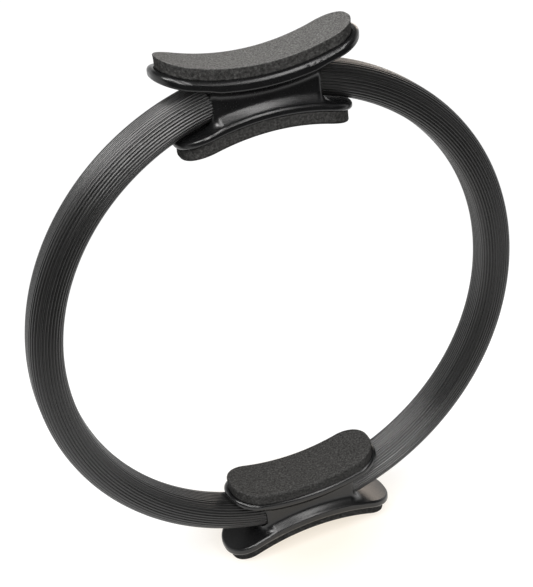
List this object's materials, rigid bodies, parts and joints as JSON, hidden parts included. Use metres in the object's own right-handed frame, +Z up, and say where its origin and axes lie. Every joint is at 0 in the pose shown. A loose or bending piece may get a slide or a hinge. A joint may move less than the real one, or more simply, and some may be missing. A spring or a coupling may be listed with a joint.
{
  "type": "pilates ring",
  "caption": "Springy hoop in a ribbed rubber sleeve with opposed double-sided padded handles, squeezed between hands or legs for resistance exercise.",
  "frame": {"origin": "On the floor, at the centre of the bounding box's bottom face, midway between the two ends of the lower handle's outer pad that the ring stands on.", "axes": "+X across the ring, along the handles; +Y along the ring's axis, away from the viewer; +Z up, from the lower handle to the upper one."},
  "size_m": [0.3504, 0.042, 0.3871],
  "materials": {
    "ribbed_rubber": "satin, ribbed along the hoop",
    "spring_steel": "tempered, oiled",
    "plated_steel": "zinc plated",
    "handle_plastic": "fine grained, satin black",
    "foam": "closed-cell foam, matte dark grey"
  },
  "bodies": {
    "lower_handle": {"lower_ferrule": "plated_steel", "lower_inner_pad": "foam", "lower_inner_shell": "handle_plastic", "lower_outer_pad": "foam", "lower_outer_shell": "handle_plastic", "lower_rivets": "plated_steel", "lower_screws": "plated_steel", "left_sleeve": "ribbed_rubber", "right_sleeve": "ribbed_rubber", "left_inner_leaf": "spring_steel", "left_middle_leaf": "spring_steel", "left_outer_leaf": "spring_steel", "right_inner_leaf": "spring_steel", "right_middle_leaf": "spring_steel", "right_outer_leaf": "spring_steel"},
    "upper_handle": {"upper_ferrule": "plated_steel", "upper_inner_pad": "foam", "upper_inner_shell": "handle_plastic", "upper_outer_pad": "foam", "upper_outer_shell": "handle_plastic", "upper_rivets": "plated_steel", "upper_screws": "plated_steel"}
  },
  "joints": [
    {"name": "squeeze", "type": "slide", "parent": "lower_handle", "child": "upper_handle", "axis": [0, 0, 1], "range_m": [-0.09, 0.03], "stiffness_N_per_m": 1100, "deforming": ["left_sleeve", "right_sleeve", "left_inner_leaf", "left_middle_leaf", "left_outer_leaf", "right_inner_leaf", "right_middle_leaf", "right_outer_leaf"]}
  ]
}
